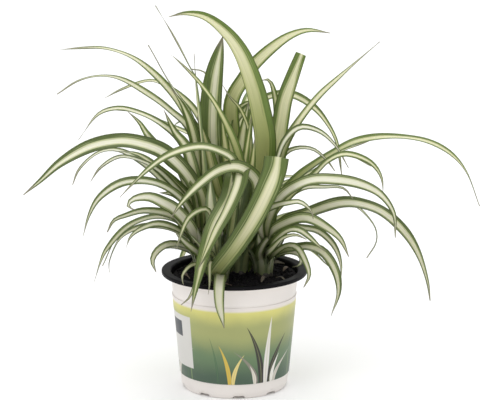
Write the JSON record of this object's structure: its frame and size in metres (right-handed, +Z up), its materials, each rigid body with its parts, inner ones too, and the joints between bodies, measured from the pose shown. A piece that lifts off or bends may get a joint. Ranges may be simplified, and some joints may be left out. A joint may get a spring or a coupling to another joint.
{
  "type": "potted spider plant",
  "caption": "Young variegated spider plant with long arching striped leaves in a round nursery pot with a printed sleeve.",
  "frame": {"origin": "centre of the pot's foot, on the plane it stands on", "axes": "+Z up along the pot's axis; the plant's front faces -Y"},
  "size_m": [0.3714, 0.2354, 0.3171],
  "materials": {
    "pot_plastic": "thin white thermoformed sheet, satin, black on its inner face and rim",
    "sleeve_print": "printed film, yellow-green to dark green, satin",
    "soil": "dark moist potting soil, crumbly and matt",
    "leaf": "waxy leaf, green margins with a cream stripe down the middle"
  },
  "bodies": {
    "root": {"pot": "pot_plastic", "label_sleeve": "sleeve_print", "soil": "soil", "rosette_left": "leaf", "rosette_front": "leaf", "rosette_right": "leaf", "rosette_middle": "leaf", "rosette_back": "leaf"}
  },
  "joints": []
}
